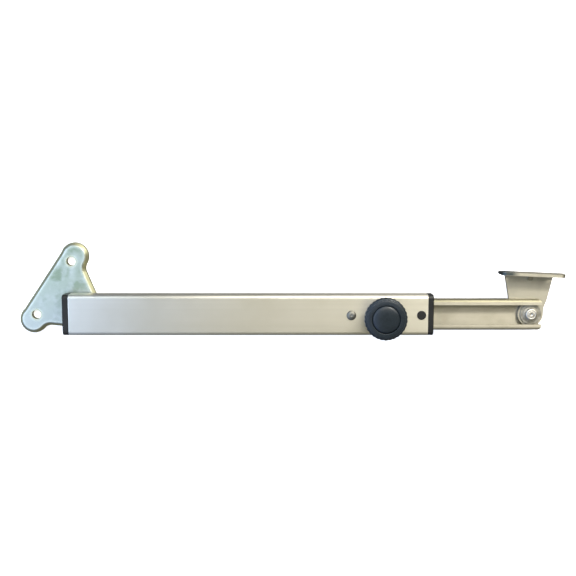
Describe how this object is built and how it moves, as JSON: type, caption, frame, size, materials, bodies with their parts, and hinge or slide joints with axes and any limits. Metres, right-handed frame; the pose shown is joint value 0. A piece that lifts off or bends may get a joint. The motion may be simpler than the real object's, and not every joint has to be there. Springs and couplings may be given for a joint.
{
  "type": "casement window stay",
  "caption": "Telescopic casement window stay: a box tube with a clamp knob holds a sliding channel, pivoted on a frame plate and a sash bracket.",
  "frame": {"origin": "midway between the two frame screw holes, on the frame bracket's seating face", "axes": "+X along the stay from the frame pivot to the sash pivot, +Y towards the sash, +Z along the pivots, out through the clamp knob"},
  "size_m": [0.3344, 0.0564, 0.0348],
  "materials": {
    "zinc_plate": "zinc plated, faint blue-green passivation",
    "satin_steel": "satin, brushed along the tube",
    "channel_steel": "mill finish stainless",
    "rivet_steel": "dull stainless",
    "black_plastic": "moulded, fine texture",
    "knob_plastic": "moulded, semi-matt",
    "nylon": "natural nylon",
    "brass_pad": "machined"
  },
  "bodies": {
    "frame_mount": {"frame_bracket": "zinc_plate", "rivet_tail_washer": "rivet_steel", "frame_pivot_rivet": "rivet_steel"},
    "case": {"outer_tube": "satin_steel", "frame_friction_washer": "nylon", "frame_inner_washer": "rivet_steel", "rear_end_cap": "black_plastic", "front_guide_bush": "black_plastic", "stop_rivet": "rivet_steel", "clamp_nut": "rivet_steel"},
    "clamp_shoe": {"clamp_shoe": "brass_pad"},
    "knob": {"knob_body": "knob_plastic", "knob_cap": "knob_plastic", "knob_stud": "rivet_steel", "shoe_retaining_ring": "rivet_steel"},
    "arm": {"inner_channel": "channel_steel", "end_glide": "nylon", "glide_rivets": "rivet_steel", "sash_friction_washer": "nylon", "sash_flat_washer": "rivet_steel", "sash_disc_spring": "rivet_steel", "sash_pivot_rivet": "rivet_steel"},
    "sash": {"sash_bracket": "channel_steel"}
  },
  "joints": [
    {"name": "frame_pivot", "type": "hinge", "parent": "frame_mount", "child": "case", "pos_m": [0.02238, -0.0151, 0.0048], "axis": [0, 0, 1], "range_deg": [-30, 100]},
    {"name": "arm_slide", "type": "slide", "parent": "case", "child": "arm", "axis": [1, 0, 0], "range_m": [0, 0.1213]},
    {"name": "sash_pivot", "type": "hinge", "parent": "arm", "child": "sash", "pos_m": [0.29398, -0.0151, 0.0098], "axis": [0, 0, 1], "range_deg": [-85, 2]},
    {"name": "clamp_travel", "type": "slide", "parent": "case", "child": "clamp_shoe", "axis": [0, 0, 1], "range_m": [0, 0.001]},
    {"name": "knob_turn", "type": "hinge", "parent": "clamp_shoe", "child": "knob", "pos_m": [0.20328, -0.0151, 0.0168], "axis": [0, 0, 1], "range_deg": [0, 360]}
  ],
  "couplings": [
    {"joint": "knob_turn", "follows": "clamp_travel", "rad_per_m": 6283.2}
  ]
}
